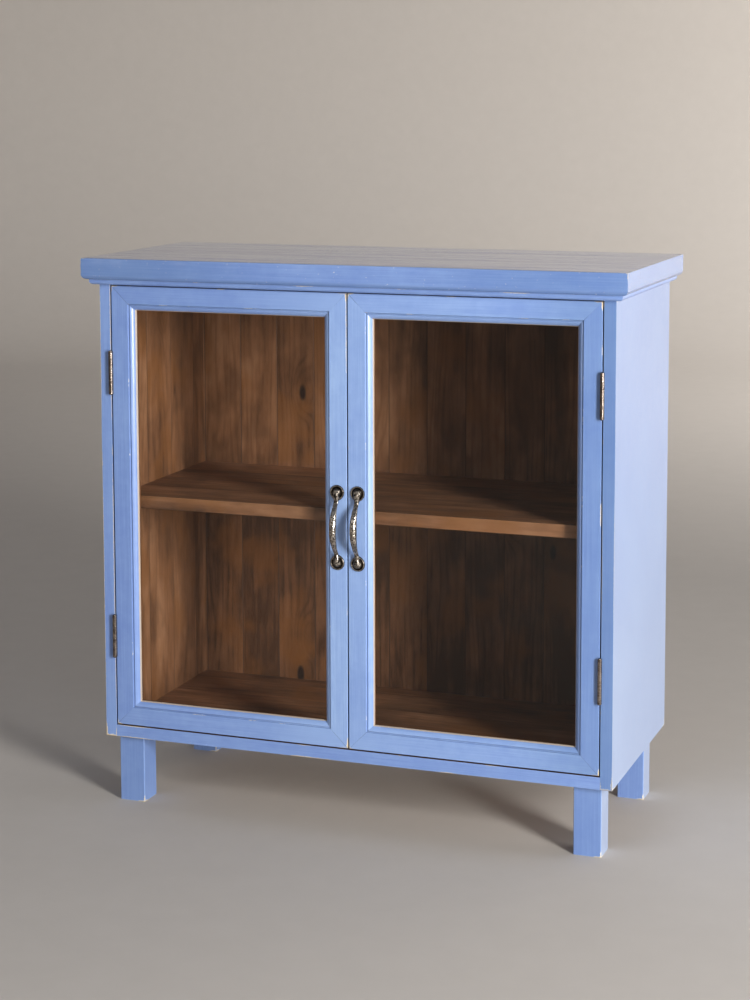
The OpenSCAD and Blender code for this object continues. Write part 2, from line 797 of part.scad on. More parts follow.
door_piece(1, "top");  // right_door_top_rail
door_piece(1, "bottom");  // right_door_bottom_rail
glass(1);  // right_glass
bead(1, "hinge");  // right_hinge_side_bead
bead(1, "meeting");  // right_meeting_side_bead
bead(1, "top");  // right_top_bead
bead(1, "bottom");  // right_bottom_bead
handle(1);  // right_handle
handle_screws(1);  // right_handle_screws
door_leaf(1, upper_hinge_height);  // right_upper_door_leaf
door_leaf(1, lower_hinge_height);  // right_lower_door_leaf
door_screws(1);  // right_door_screws
strike_plate(1);  // right_strike_plate
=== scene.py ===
import math
import bpy
import bmesh
import numpy as np
from mathutils import Matrix, Vector


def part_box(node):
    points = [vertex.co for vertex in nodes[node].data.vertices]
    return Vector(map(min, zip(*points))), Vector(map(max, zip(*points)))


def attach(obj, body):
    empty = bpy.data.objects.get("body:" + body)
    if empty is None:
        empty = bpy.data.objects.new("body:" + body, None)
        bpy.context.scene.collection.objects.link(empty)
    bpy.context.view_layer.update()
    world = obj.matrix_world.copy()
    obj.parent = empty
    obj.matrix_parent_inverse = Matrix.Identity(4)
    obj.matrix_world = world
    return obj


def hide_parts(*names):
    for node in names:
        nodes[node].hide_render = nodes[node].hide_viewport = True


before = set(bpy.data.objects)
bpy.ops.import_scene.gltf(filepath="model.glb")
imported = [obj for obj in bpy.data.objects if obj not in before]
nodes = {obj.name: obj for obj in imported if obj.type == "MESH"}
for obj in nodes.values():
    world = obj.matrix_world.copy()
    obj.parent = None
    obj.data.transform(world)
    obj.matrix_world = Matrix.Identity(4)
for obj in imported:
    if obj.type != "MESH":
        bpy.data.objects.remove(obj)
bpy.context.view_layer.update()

scene = bpy.context.scene
scene.view_settings.view_transform = "Standard"


def nodeBox(name):
    # lowest and highest corner of a CAD node, in millimetres
    return tuple(tuple(v * 1000 for v in corner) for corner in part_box(name))


def joinBoxes(*names):
    # the box about several nodes
    lows, highs = zip(*map(nodeBox, names))
    return tuple(map(min, zip(*lows))), tuple(map(max, zip(*highs)))


# sizes that the finishes and the new pieces share, in millimetres
sideLow, sideHigh = nodeBox("right_side")
cabinet = {
    "front": sideLow[1],            # front face of the body
    "halfWidth": sideHigh[0],
    "innerHalf": sideLow[0],        # inner face of a side panel
    "paintedLip": 19.5,             # how far the blue runs in from the front, on inner faces
    "skin": 0.3,                    # a point this near to a face is on it
}

photoCamera = {
    "place": (1.06395, cabinet["front"] / 1000 - 2.78171, 1.05972),     # metres
    "yaw": -19.9078, "pitch": 6.1537, "roll": -0.1137,                  # degrees
    "lens": 76.779, "shift": (-0.009645, -0.180315), "farthest": 60,
}


def makeCamera(c):
    # looks along (sin yaw cos pitch, cos yaw cos pitch, -sin pitch), then rolls about that line
    yaw, pitch, roll = (math.radians(c[k]) for k in ("yaw", "pitch", "roll"))
    ahead = Vector((math.sin(yaw) * math.cos(pitch), math.cos(yaw) * math.cos(pitch), -math.sin(pitch)))
    level = ahead.cross(Vector((0, 0, 1))).normalized()
    upright = level.cross(ahead)
    right = math.cos(roll) * level + math.sin(roll) * upright
    up = math.cos(roll) * upright - math.sin(roll) * level
    data = bpy.data.cameras.new("camera")
    data.lens = c["lens"]
    data.shift_x, data.shift_y = c["shift"]
    data.clip_end = c["farthest"]
    camera = bpy.data.objects.new("camera", data)
    camera.matrix_world = Matrix((
        (right.x, up.x, -ahead.x, c["place"][0]),
        (right.y, up.y, -ahead.y, c["place"][1]),
        (right.z, up.z, -ahead.z, c["place"][2]),
        (0, 0, 0, 1)))
    scene.collection.objects.link(camera)
    scene.camera = camera


# place, aim, width and height in metres
softboxes = [
    {"name": "tallWindow", "watts": 212, "size": (0.68, 2.2), "colour": (1.0, 0.980, 0.945),
     "place": (3.13, -2.45, 1.22), "aim": (0, 0, 0.55)},
    {"name": "sideFill", "watts": 24, "size": (1.4, 1.6), "colour": (0.97, 0.98, 1.0),
     "place": (3.30, 0.75, 0.95), "aim": (0.4, 0, 0.40)},
    {"name": "frontFill", "watts": 7, "size": (1.8, 1.8), "colour": (1.0, 0.99, 0.97),
     "place": (-1.55, -2.70, 1.80), "aim": (0, 0, 0.45)},
    {"name": "wallWash", "watts": 270, "size": (2.6, 1.4), "colour": (1.0, 0.975, 0.94),
     "place": (2.60, 3.30, 3.20), "aim": (3.2, 6.4, 1.1)},
]
studioSky = {"colour": (0.86, 0.90, 1.0), "strength": 0.20}


def makeSoftbox(s):
    data = bpy.data.lights.new(s["name"], "AREA")
    data.shape = "RECTANGLE"
    data.size, data.size_y = s["size"]
    data.energy = s["watts"]
    data.color = s["colour"]
    lamp = bpy.data.objects.new(s["name"], data)
    lamp.location = s["place"]
    lamp.rotation_euler = (Vector(s["place"]) - Vector(s["aim"])).to_track_quat("Z", "Y").to_euler()
    lamp.visible_camera = False
    scene.collection.objects.link(lamp)


def makeSky(s):
    world = bpy.data.worlds.new("studio")
    world.use_nodes = True
    sky = world.node_tree.nodes["Background"]
    sky.inputs["Color"].default_value = (*s["colour"], 1.0)
    sky.inputs["Strength"].default_value = s["strength"]
    scene.world = world


class Sock:
    # one output of a material's nodes; sums, products and comparisons of these add Math nodes
    def __init__(self, finish, socket):
        self.finish, self.socket = finish, socket

    def other(self, name):
        # another output of the same node
        return Sock(self.finish, self.socket.node.outputs[name])

    def maths(self, operation, *values):
        return self.finish.add("Math", {"operation": operation}, dict(enumerate((self, *values))))

    def __add__(self, other):
        return self.maths("ADD", other)

    def __mul__(self, other):
        return self.maths("MULTIPLY", other)

    __radd__ = __add__
    __rmul__ = __mul__

    def __sub__(self, other):
        return self.maths("SUBTRACT", other)

    def __rsub__(self, other):
        return self.finish.add("Math", {"operation": "SUBTRACT"}, {0: other, 1: self})

    def __truediv__(self, other):
        return self.maths("DIVIDE", other)

    def __pow__(self, other):
        return self.maths("POWER", other)

    def __lt__(self, other):
        return self.maths("LESS_THAN", other)

    def __gt__(self, other):
        return self.maths("GREATER_THAN", other)

    def __abs__(self):
        return self.maths("ABSOLUTE")

    def least(self, other):
        return self.maths("MINIMUM", other)

    def most(self, other):
        return self.maths("MAXIMUM", other)

    def clamped(self):
        return self.most(0.0).least(1.0)

    def smooth(self, start, end, low=0.0, high=1.0):
        # runs smoothly from low at start to high at end, and stays there
        values = {"Value": self, "From Min": start, "From Max": end, "To Min": low, "To Max": high}
        return self.finish.add("MapRange", {"interpolation_type": "SMOOTHSTEP"}, values)


class Finish:
    # a material, with one method that adds any node to it; place, x, y and z are in millimetres
    def __init__(self, name):
        self.material = bpy.data.materials.new(name)
        self.material.use_nodes = True
        self.tree = self.material.node_tree
        self.tree.nodes.clear()
        metres = self.add("TexCoord", out="Object")
        self.place = self.add("VectorMath", {"operation": "SCALE"}, {0: metres, "Scale": 1000.0})
        self.x = self.add("SeparateXYZ", {}, {0: self.place})
        self.y, self.z = self.x.other("Y"), self.x.other("Z")

    def add(self, kind, settings=None, values=None, out=0):
        # a node's settings are set first, then the values or links of its sockets; gives one of its outputs
        node = self.tree.nodes.new("ShaderNode" + kind)
        for key, value in (settings or {}).items():
            if key == "stops":
                while len(node.color_ramp.elements) < len(value):
                    node.color_ramp.elements.new(1.0)
                for element, (position, colour) in zip(node.color_ramp.elements, value):
                    element.position, element.color = position, (*colour, 1.0)
            else:
                setattr(node, key, value)
        for key, value in (values or {}).items():
            socket = node.inputs[key]
            if isinstance(value, Sock):
                self.tree.links.new(value.socket, socket)
            elif socket.type == "RGBA":
                socket.default_value = (*value, 1.0)
            else:
                socket.default_value = value
        return Sock(self, node.outputs[out]) if node.outputs else None

    def stretched(self, place, scale, moved):
        # a place in millimetres times a scale for each axis, then moved
        return self.add("VectorMath", {"operation": "MULTIPLY_ADD"}, {0: place, 1: scale, 2: moved})

    def noise(self, look, along="x", seed=0.0, place=None):
        # look gives the scale across and along the grain, a seed that is added, detail and roughness
        across, lengthwise, ownSeed, detail, rough = look
        seed = seed + ownSeed
        scale = stretch(along, across, lengthwise)
        vector = self.stretched(place or self.place, scale, (seed, seed * 1.7, seed * 2.3))
        values = {"Vector": vector, "Scale": 1.0, "Detail": detail, "Roughness": rough}
        return self.add("TexNoise", {}, values)

    def mix(self, a, b, share):
        # a colour that goes from a to b
        return self.add("Mix", {"data_type": "RGBA"}, {6: a, 7: b, 0: share}, out=2)

    def shade(self, layer, **constants):
        # ends the material: colour, roughness, coat and a height in millimetres go to a Principled shader
        values = {"Base Color": layer["colour"], "Roughness": layer["rough"]}
        if "height" in layer:
            bump = {"Strength": 1.0, "Distance": 0.001, "Height": layer["height"]}
            values["Normal"] = self.add("Bump", {}, bump)
        if "coat" in layer:
            values.update({"Coat Weight": layer["coat"], "Coat Roughness": bluePaint["coatRough"]})
        values.update(constants)
        return self.finishWith(self.add("BsdfPrincipled", {}, values))

    def finishWith(self, shader):
        self.add("OutputMaterial", {}, {"Surface": shader})
        return self.material


def stretch(along, across, lengthwise):
    # a scale for each axis: one along the grain and another across it
    return tuple(lengthwise if axis == along else across for axis in "xyz")


def mixLayers(f, a, b, mask):
    # layer a where mask is 0 and layer b where it is 1
    mixed = {key: (b[key] - a[key]) * mask + a[key] for key in ("rough", "height", "coat")}
    return dict(mixed, colour=f.mix(a["colour"], b["colour"], mask))


def tint(f, layer, colour, share):
    # moves a layer's colour towards another by a share
    layer["colour"] = f.mix(layer["colour"], colour, share)


def edgeDistance(f, box):
    # how far a point on a box is from its nearest edge: the middle one of its distances to the faces' pairs
    dx, dy, dz = ((v - low).least(high - v) for v, low, high in zip((f.x, f.y, f.z), *box))
    return dx.least(dy).most(dx.most(dy).least(dz))


def spotsIn(box, spots, **words):
    # worn spots with the words for a box's faces, and any more words, turned into millimetres
    (left, front, foot), (right, back, top) = box
    words = dict(words, left=left, right=right, front=front, back=back, foot=foot, top=top)
    return [(tuple(words.get(v, v) for v in middle), radius, width) for middle, radius, width in spots]


def spotReach(f, spots):
    # the greatest of several worn spots: each has a middle, a radius and the width worn there
    reach = None
    for middle, radius, width in spots:
        away = f.add("VectorMath", {"operation": "DISTANCE"}, {0: f.place, 1: middle}, out="Value")
        one = away.smooth(radius, radius * 0.3, 0.0, width)
        reach = one if reach is None else reach.most(one)
    return reach


bluePaint = {
    "deep": (0.158, 0.262, 0.605),
    "light": (0.236, 0.366, 0.700),
    "sheenGain": (0.54, 0.45, 0.21),           # painted sheen: how much of itself each colour gains where a piece is painted paler
    # the next colour is the blue that painted shade and the deeper right front edge go towards
    "deepest": (0.085, 0.170, 0.360),
    # the next colour is a painted sheen on the rails, towards the meeting stiles
    "pale": (0.300, 0.450, 0.780),
    # the next colour is faded paint and a painted sheen, on the right side and the right legs
    "bleachedAndSheen": (0.560, 0.630, 0.720),
    "primer": (0.780, 0.760, 0.690),
    "bareWood": (0.560, 0.440, 0.270),
    # the next colour darkens the mitres' open joints, and is painted shade in the gaps and the grooves
    "seamAndShade": (0.020, 0.035, 0.110),
    "gapShade": 0.6,                           # painted shade: how far a gap's faces go towards the dark seam colour, or the knots' colour on the bottom board
    "rough": 0.36, "mottleRough": 0.16, "streaks": 0.16, "wornRough": 0.25,
    "coat": 0.6, "coatRough": 0.16,
    # each noise has a scale across and along the brush, a seed, detail and roughness
    "cloud": (0.009, 0.009, 3.1, 2.0, 0.5),
    "brush": (0.55, 0.010, 5.7, 4.0, 0.6),
    "mottle": (0.06, 0.06, 1.3, 4.0, 0.65),
    "grain": (0.9, 0.006, 9.2, 3.0, 0.55),
    "patch": (0.022, 0.022, 7.7, 3.0, 0.6),
    "ragged": (0.42, 0.42, 2.9, 3.0, 0.6),
    "speck": (0.30, 0.30, 4.4, 2.0, 0.5),
    # shares of the noises in the colour, and the ranges that are turned into 0 to 1
    "cloudTone": 0.55, "brushTone": 0.75, "mottleTone": 0.40, "toneShift": -0.35, "toneRange": (0.15, 0.85),
    "grainRange": (0.56, 0.70), "grainTone": 0.35,
    "patchRange": (0.57, 0.72), "speckRange": (0.725, 0.75),
    # wear, in millimetres from an edge
    "edgeWear": 0.9, "raggedness": 2.2, "raggedShift": -0.25,
    "primerEdge": 5.0, "woodEdge": 4.0,     # how sharply primer and bare wood end
    "woodShare": 0.62,                      # bare wood's width, as a share of the primer's
    "arrisHalo": (2.5, 0.0, 0.0, 0.45),     # the paler band beside an edge
    "speckReach": (26.0, 6.0),
    # heights in millimetres
    "brushHeight": 0.045, "grainHeight": -0.04, "mottleHeight": 0.02, "chipHeight": -0.12,
    "seamHeight": -0.35, "seamShare": 0.85,
}


def fade(colour, share):
    # painted light: above 0, paler by a share of the gain, as a painted sheen; below 0, as far towards the
    # deepest blue, as painted shade
    if share > 0:
        return tuple(c * (1 + share * gain) for c, gain in zip(colour, bluePaint["sheenGain"]))
    return tuple(c + (deep - c) * -share for c, deep in zip(colour, bluePaint["deepest"]))


def paintLayer(f, edge, along, spots=(), seed=0.0, wear=1.0, rough=bluePaint["rough"], extraWear=None,
               seams=None, chips=0.0, faded=0.0, streaks=bluePaint["streaks"], relief=1.0):
    # brushed paint over primer and wood, worn where a ragged width is more than the distance from the edge
    p = bluePaint
    # the whole piece is shifted paler as a painted sheen or deeper as painted shade
    deep, light = fade(p["deep"], faded), fade(p["light"], faded)
    cloud, brush, mottle, grain, patch, ragged = (
        f.noise(p[key], along, seed) for key in ("cloud", "brush", "mottle", "grain", "patch", "ragged"))
    grain = grain.smooth(*p["grainRange"])
    tone = cloud * p["cloudTone"] + brush * p["brushTone"] + mottle * p["mottleTone"] + p["toneShift"]
    colour = f.mix(deep, light, tone.smooth(*p["toneRange"]))
    colour = f.mix(colour, deep, grain * p["grainTone"])
    colour = f.mix(colour, light, edge.smooth(*p["arrisHalo"]))
    amount = patch.smooth(*p["patchRange"], 0.0, p["edgeWear"] * wear)
    if spots:
        amount = amount.most(spotReach(f, spots))
    reach = amount * (ragged * p["raggedness"] + p["raggedShift"])
    chipped = ((reach - edge) * p["primerEdge"]).clamped()
    bare = ((reach * p["woodShare"] - edge) * p["woodEdge"]).clamped()
    if extraWear is not None:
        chipped = chipped.most(extraWear)
    if chips:
        speck = f.noise(p["speck"], along, seed).smooth(*p["speckRange"])
        chipped = chipped.most(speck * edge.smooth(*p["speckReach"]) * chips)
    colour = f.mix(colour, p["primer"], chipped)
    colour = f.mix(colour, p["bareWood"], bare)
    height = brush * p["brushHeight"] + grain * p["grainHeight"] + mottle * p["mottleHeight"]
    height = height * relief + chipped * p["chipHeight"]
    if seams is not None:
        colour = f.mix(colour, p["seamAndShade"], seams * p["seamShare"])
        height = height + seams * p["seamHeight"]
    rough = (mottle - 0.5) * p["mottleRough"] + (brush - 0.5) * streaks + rough + chipped * p["wornRough"]
    return {"colour": colour, "rough": rough, "height": height, "coat": p["coat"] - chipped * p["coat"]}


brownStain = {
    "dark": (0.075, 0.031, 0.014),
    "middle": (0.240, 0.105, 0.048),
    "light": (0.450, 0.225, 0.118),
    "stops": (0.20, 0.52, 0.90),            # where these three stand in the ramp
    "warm": (0.235, 0.088, 0.022),
    "knot": (0.022, 0.010, 0.006),
    "rough": 0.52, "fibreRough": 0.25,
    # each noise has a scale across and along the grain, a seed, detail and roughness
    "bend": (0.018, 0.0022, 1.1, 2.0, 0.5),
    "tone": (0.015, 0.0055, 4.0, 4.0, 0.65),
    "streak": (0.075, 0.0045, 8.0, 4.0, 0.6),
    "fibre": (0.42, 0.011, 12.0, 2.0, 0.55),
    "patch": (0.0085, 0.0075, 17.0, 3.0, 0.6),
    # shares of the noises in the wood's value
    "toneShare": 1.15, "streakShare": 0.42, "fibreShare": 0.20, "ringShare": -0.10, "valueShift": -0.38,
    "ringWidth": 13.0,                      # millimetres between rings
    "ringBend": 8.0, "ringKnot": 2.4,       # turns that the bending noise and a knot add
    # knots stand in cells of 95 by 210 mm; the sizes are shares of a cell
    "cellAcross": 95.0, "cellAlong": 210.0, "knotChance": (0.50, 0.52), "knotSize": (0.085, 0.045),
    "haloSize": (0.30, 0.04), "knotDark": 0.9, "haloDark": 0.12, "haloWarm": 0.35,
    "warmPatch": (0.50, 0.66, 0.0, 0.55), "darkPatch": (0.48, 0.34, 0.0, 0.45),
    # glued strips: how many millimetres a strip's grain and rings are moved, and how much its value differs
    "stripMove": (310.0, 90.0, 700.0), "stripRings": 170.0, "stripValue": 0.14,
    "jointHalf": (0.75, 0.2), "jointDark": 0.8,
    # heights in millimetres
    "fibreHeight": 0.022, "ringHeight": -0.03, "knotHeight": -0.05, "jointHeight": -0.4,
}


def gluedStrips(f, strip, seed, jointHalf):
    # a random number for each strip, and 1 in the joints; strip is an axis, the first joint and the width
    axis, first, width = strip
    place = (getattr(f, axis) - first) / width
    index = place.maths("FLOOR")
    chance = f.add("TexWhiteNoise", {"noise_dimensions": "1D"}, {"W": index + seed}, out="Value")
    joint = abs(place - index - 0.5).smooth(*(0.5 - half / width for half in jointHalf))
    return chance, joint


def stainLayer(f, along, seed=0.0, strip=None, knots=1.0, colours=None, shade=0.0):
    # stained fir: the rings are a sine across the grain, bent by a noise and about the knots;
    # shade says where painted shade darkens the stain
    c = dict(brownStain, **(colours or {}))
    phase, place = f.y if along == "x" else f.x, f.place
    if strip:
        chance, joint = gluedStrips(f, strip, seed, c["jointHalf"])
        phase = phase + chance * c["stripRings"]
        moves = zip((f.x, f.y, f.z), c["stripMove"])
        place = f.add("CombineXYZ", {}, {i: v + chance * move for i, (v, move) in enumerate(moves)})
    cell = f.stretched(place, stretch(along, 1 / c["cellAcross"], 1 / c["cellAlong"]),
                       (seed, seed * 1.3, seed * 0.7))
    cells = {"Vector": cell, "Scale": 1.0, "Randomness": 1.0}
    knotAway = f.add("TexVoronoi", {"feature": "F1"}, cells, out="Distance")
    picked = f.add("SeparateColor", {}, {0: knotAway.other("Color")}).smooth(*c["knotChance"])
    knot, halo = (knotAway.smooth(*c[key]) * picked * knots for key in ("knotSize", "haloSize"))
    bend, tone, streak, fibre, patch = (
        f.noise(c[key], along, seed, place) for key in ("bend", "tone", "streak", "fibre", "patch"))
    turns = phase / c["ringWidth"] + bend * c["ringBend"] + halo * c["ringKnot"]
    rings = (turns * math.tau).maths("SINE") * 0.5 + 0.5
    value = tone * c["toneShare"] + streak * c["streakShare"] + fibre * c["fibreShare"]
    value = value + rings ** 3.0 * c["ringShare"] + c["valueShift"]
    if strip:
        value = value + (chance - 0.5) * c["stripValue"]
    stops = list(zip(c["stops"], (c["dark"], c["middle"], c["light"])))
    colour = f.add("ValToRGB", {"stops": stops}, {0: value - shade})
    warm = patch.smooth(*c["warmPatch"]) + halo * c["haloWarm"]
    colour = f.mix(colour, c["warm"], warm * (1 - knot))
    colour = f.mix(colour, c["dark"], patch.smooth(*c["darkPatch"]))
    colour = f.mix(colour, c["knot"], knot * c["knotDark"] + halo * c["haloDark"])
    height = fibre * c["fibreHeight"] + rings * c["ringHeight"] + knot * c["knotHeight"]
    if strip:
        colour = f.mix(colour, c["knot"], joint * c["jointDark"])
        height = height + joint * c["jointHeight"]
    rough = (fibre - 0.5) * c["fibreRough"] + c["rough"]
    return {"colour": colour, "rough": rough, "height": height, "coat": 0.0}


# scale is the patina's, per millimetre
agedBrass = {"dark": (0.045, 0.030, 0.024), "bright": (0.48, 0.41, 0.36), "rough": 0.22, "scale": 0.12}
antiqueBronze = {"dark": (0.022, 0.016, 0.012), "bright": (0.61, 0.55, 0.48), "rough": 0.34, "scale": 0.25}
platedSteel = {"dark": (0.33, 0.30, 0.22), "bright": (0.62, 0.58, 0.45), "rough": 0.30, "scale": 0.3}
zincSteel = {"dark": (0.42, 0.42, 0.42), "bright": (0.66, 0.66, 0.65), "rough": 0.28, "scale": 0.2}
patina = {
    # seed, detail and roughness of the two noises; the fine one is so many times smaller
    "blotch": (1.0, 4.0, 0.65), "fine": (2.0, 3.0, 0.6), "fineScale": 7,
    "blotchShare": 0.8, "fineShare": 0.5, "shift": -0.15, "range": (0.25, 0.80),
    "wornShare": 0.85, "wornBlotch": 0.9, "wornRange": (0.12, 0.75),
    "darkRough": 0.22, "fineRough": 0.15, "height": 0.03,
}


def metalFinish(name, metal, worn=None):
    # patina between a dark and a bright metal; worn names an attribute that is 1 on the high places
    f = Finish(name)
    p = patina
    blotch = f.noise((metal["scale"], metal["scale"], *p["blotch"]))
    small = metal["scale"] * p["fineScale"]
    fine = f.noise((small, small, *p["fine"]))
    if worn:
        high = f.add("Attribute", {"attribute_name": worn}, out="Fac")
        share = high * p["wornShare"] + (blotch - 0.5) * p["wornBlotch"] + (fine - 0.5) * p["fineShare"]
        share = share.smooth(*p["wornRange"])
    else:
        share = (blotch * p["blotchShare"] + fine * p["fineShare"] + p["shift"]).smooth(*p["range"])
    rough = (0.5 - share) * p["darkRough"] + metal["rough"] + (fine - 0.5) * p["fineRough"]
    return f.shade({"colour": f.mix(metal["dark"], metal["bright"], share), "rough": rough,
                    "height": fine * p["height"] + blotch * p["height"]}, Metallic=1.0)


glassLook = {
    "clear": (0.960, 0.970, 0.965), "mirror": (0.93, 0.96, 0.98), "rough": 0.02,
    "headOn": 0.014,                        # share that is reflected straight back
    "smudge": (0.012, 0.012, 3.0, 3.0, 0.6), "smudgeRange": (0.50, 0.75),
    "smudgeRough": 0.05, "smudgeShare": 0.002,
}


def glassFinish():
    # clear glass: what is behind it shows through, and the surface adds a faint reflection and smudges;
    # the share reflected is headOn + (1 - headOn) * facing ** 5, the same on both faces
    f = Finish("clearGlass")
    g = glassLook
    smudge = f.noise(g["smudge"]).smooth(*g["smudgeRange"])
    clear = f.add("BsdfTransparent", {}, {"Color": g["clear"]})
    rough = smudge * g["smudgeRough"] + g["rough"]
    mirror = f.add("BsdfPrincipled", {}, {"Base Color": g["mirror"], "Metallic": 1.0, "Roughness": rough})
    facing = f.add("LayerWeight", {}, {"Blend": 0.5}, out="Facing")
    share = facing ** 5.0 * (1 - g["headOn"]) + g["headOn"] + smudge * g["smudgeShare"]
    return f.finishWith(f.add("MixShader", {}, {0: share, 1: clear, 2: mirror}))


catchPlastic = {"dark": (0.055, 0.026, 0.013), "light": (0.085, 0.042, 0.022), "rough": 0.35,
                "pebble": (1.6, 1.6, 1.0, 2.0, 0.5), "pebbleRough": 0.2, "pebbleHeight": 0.04}


def plasticFinish(p):
    f = Finish("brownPlastic")
    pebble = f.noise(p["pebble"])
    colour = f.mix(p["dark"], p["light"], pebble)
    rough = pebble * p["pebbleRough"] + p["rough"]
    return f.shade({"colour": colour, "rough": rough, "height": pebble * p["pebbleHeight"]})


def paintedBoard(name, box, along, spots=(), seed=0.0, **more):
    f = Finish(name)
    return f.shade(paintLayer(f, edgeDistance(f, box), along, spots, seed, **more))


sidePaint = {
    # worn spots: the middle's x, y and z, the radius and the width worn
    "spots": (
        (("outer", "front", "foot"), 26.0, 2.6),
        (("outer", "front", 420.0), 120.0, 0.7),
        (("outer", "back", "foot"), 18.0, 2.0),
    ),
    "leftSpots": ((("inner", "front", 690.0), 150.0, 0.8), (("inner", "front", 300.0), 220.0, 0.7)),
    "rightSpots": ((("inner", "front", 690.0), 150.0, 0.3), (("inner", "front", 300.0), 220.0, 0.2)),
    "strip": ("y", -118.0, 83.0),
    # the right panel: how deep its front edge is, and how its outer face is painted paler low down, a painted
    # sheen with some faded paint, and deeper high up, a painted shade, from one height to another
    "frontDeep": 0.55, "bleachedAndSheen": (760.0, 180.0, 0.18, 0.46), "deep": (350.0, 760.0, 0.06, 0.44),
    "insideSkin": 0.4,                      # a point this near to the inner face is on it
    "gapStart": 0.8,                        # how far behind the front the painted shade in the gap begins
}


def sidePanelFinish(word, seed):
    # blue outside, along the front edge and a little way in; brown stain on the rest of the inner face
    f = Finish("sidePanel" + word.title())
    s = sidePaint
    box = nodeBox(word + "_side")
    outer, inner = (box[1][0], box[0][0]) if word == "right" else (box[0][0], box[1][0])
    spots = spotsIn(box, s["spots"] + s[word + "Spots"], outer=outer, inner=inner)
    paint = paintLayer(f, edgeDistance(f, box), "z", spots, seed)
    if word == "right":      # its front edge is deeper; its outer face is paler low down, a painted sheen with some faded paint, and deeper high up, a painted shade
        tint(f, paint, bluePaint["deepest"], (f.y < cabinet["front"] + cabinet["skin"]) * s["frontDeep"])
        outside = f.x > cabinet["halfWidth"] - cabinet["skin"]
        tint(f, paint, bluePaint["bleachedAndSheen"], outside * f.z.smooth(*s["bleachedAndSheen"]))
        tint(f, paint, bluePaint["deepest"], outside * f.z.smooth(*s["deep"]))
    stain = stainLayer(f, "z", seed + 2.0, s["strip"])
    inside = abs(f.x) < cabinet["innerHalf"] + s["insideSkin"]
    # painted shade on the inner face beside the door's edge
    gap = inside * (f.y > cabinet["front"] + s["gapStart"])
    tint(f, paint, bluePaint["seamAndShade"], gap * bluePaint["gapShade"])
    return f.shade(mixLayers(f, paint, stain, inside * (f.y > cabinet["front"] + cabinet["paintedLip"])))


boardPaint = {
    "bottomSpots": (
        ((-70.9, "front", "foot"), 26.0, 1.3),
        ((-340.0, "front", "foot"), 40.0, 1.2),
        ((150.0, "front", "foot"), 16.0, 0.9),
    ),
    "strip": ("y", -100.0, 78.0),
    "bottomLip": 0.6,                       # how far the blue runs in from the bottom board's front
}


def boardFinish(name, nodeName, seed, lip, spots=()):
    # stained wood, blue as far in as lip says, with painted shade behind the doors; its ends count as the
    # body's
    f = Finish(name)
    (_, front, foot), (_, back, top) = nodeBox(nodeName)
    half = cabinet["halfWidth"]
    box = (-half, front, foot), (half, back, top)
    paint = paintLayer(f, edgeDistance(f, box), "x", spotsIn(box, spots), seed)
    stain = stainLayer(f, "x", seed + 2.0, boardPaint["strip"])
    # painted shade in the gap behind the doors, towards the knots' dark colour
    shadedGap = f.y < cabinet["front"] + cabinet["paintedLip"]
    tint(f, stain, brownStain["knot"], shadedGap * bluePaint["gapShade"])
    return f.shade(mixLayers(f, stain, paint, f.y < cabinet["front"] + lip))


doorPaint = {
    "frameWidth": 36.0,                     # a door's outline to the glass opening, in millimetres
    "shoulder": 26.6,                       # a door's outline to the step of its moulding
    "face": 1.0, "mitreDepth": 10.0, "mouldingDepth": 6.0,      # how far behind the front these reach
    "members": ("hinge_stile", "meeting_stile", "top_rail", "bottom_rail"),
    # the moulding's relief falls at the shoulder and rises beside it: from, to, height before and after
    "step": (25.8, 27.2, 0.0, -1.7), "rise": (28.1, 29.0, 0.0, 1.1),
    # painted shade in the groove beside the step
    "groove": 28.1, "grooveHalf": (1.0, 0.3), "grooveShade": 0.22,
    # wear on the sharp step where the moulding begins
    "arrisHalf": (0.9, 0.35), "rubbed": (0.05, 0.05, 6.1, 3.0, 0.6), "rubbedRange": (0.60, 0.66),
    "broken": (0.5, 0.5, 3.3, 2.0, 0.5), "brokenRange": (0.35, 0.55), "streakDepth": (30.0, 28.0),
    # open mitres
    "mitreHalf": (0.55, 0.15), "dirt": (0.03, 0.03, 8.8, 2.0, 0.5), "dirtRange": (0.42, 0.62, 0.10, 1.0),
    "gapEdge": 0.4, "gapStart": 1.2,        # a gap's faces, which take painted shade: near to the outline and behind the front
    "bareEdge": 1.1, "bareShare": 0.8,      # the edge beside the glass is left bare
    "railPale": (200.0, 20.0), "railDeep": (210.0, 375.0),      # from the meeting side, where a rail's painted sheen and painted shade change
    # how much each frame piece is painted paler as a sheen or deeper as shade, how pale and how deep a rail's
    # two ends are painted, the worn spots, and the rubbed streaks (middle, half length) along the foot or the
    # top of the moulding
    "left": {
        "faded": (0.0, 0.80, -0.05, 0.15), "railEnds": (0.65, 0.05),
        "spots": (
            (("inner", "front", "top"), 17.0, 2.6),
            (("inner", "front", 715.0), 90.0, 0.8),
            (("inner", "front", "foot"), 20.0, 2.2),
            ((-193.1, "front", "top"), 10.0, 1.0),
            (("outer", "front", "top"), 14.0, 1.6),
            (("outer", "front", "foot"), 12.0, 1.5),
        ),
        "streakSide": "foot", "streaks": ((-235.0, 13.0), (-149.1, 8.0), (-102.6, 6.0)),
    },
    "right": {
        "faded": (-0.32, 0.60, 0.40, 0.50), "railEnds": (0.15, 0.42),
        "spots": (
            (("inner", "front", "top"), 12.0, 2.0),
            (("outer", "front", "top"), 16.0, 1.8),
            (("inner", "front", "foot"), 10.0, 1.5),
            ((153.7, "front", "top"), 12.0, 0.9),
            (("outer", "front", "foot"), 13.0, 1.5),
            (("inner", "front", 600.0), 60.0, 0.5),
        ),
        "streakSide": "top", "streaks": ((258.0, 9.0), (93.6, 7.0)),
    },
}


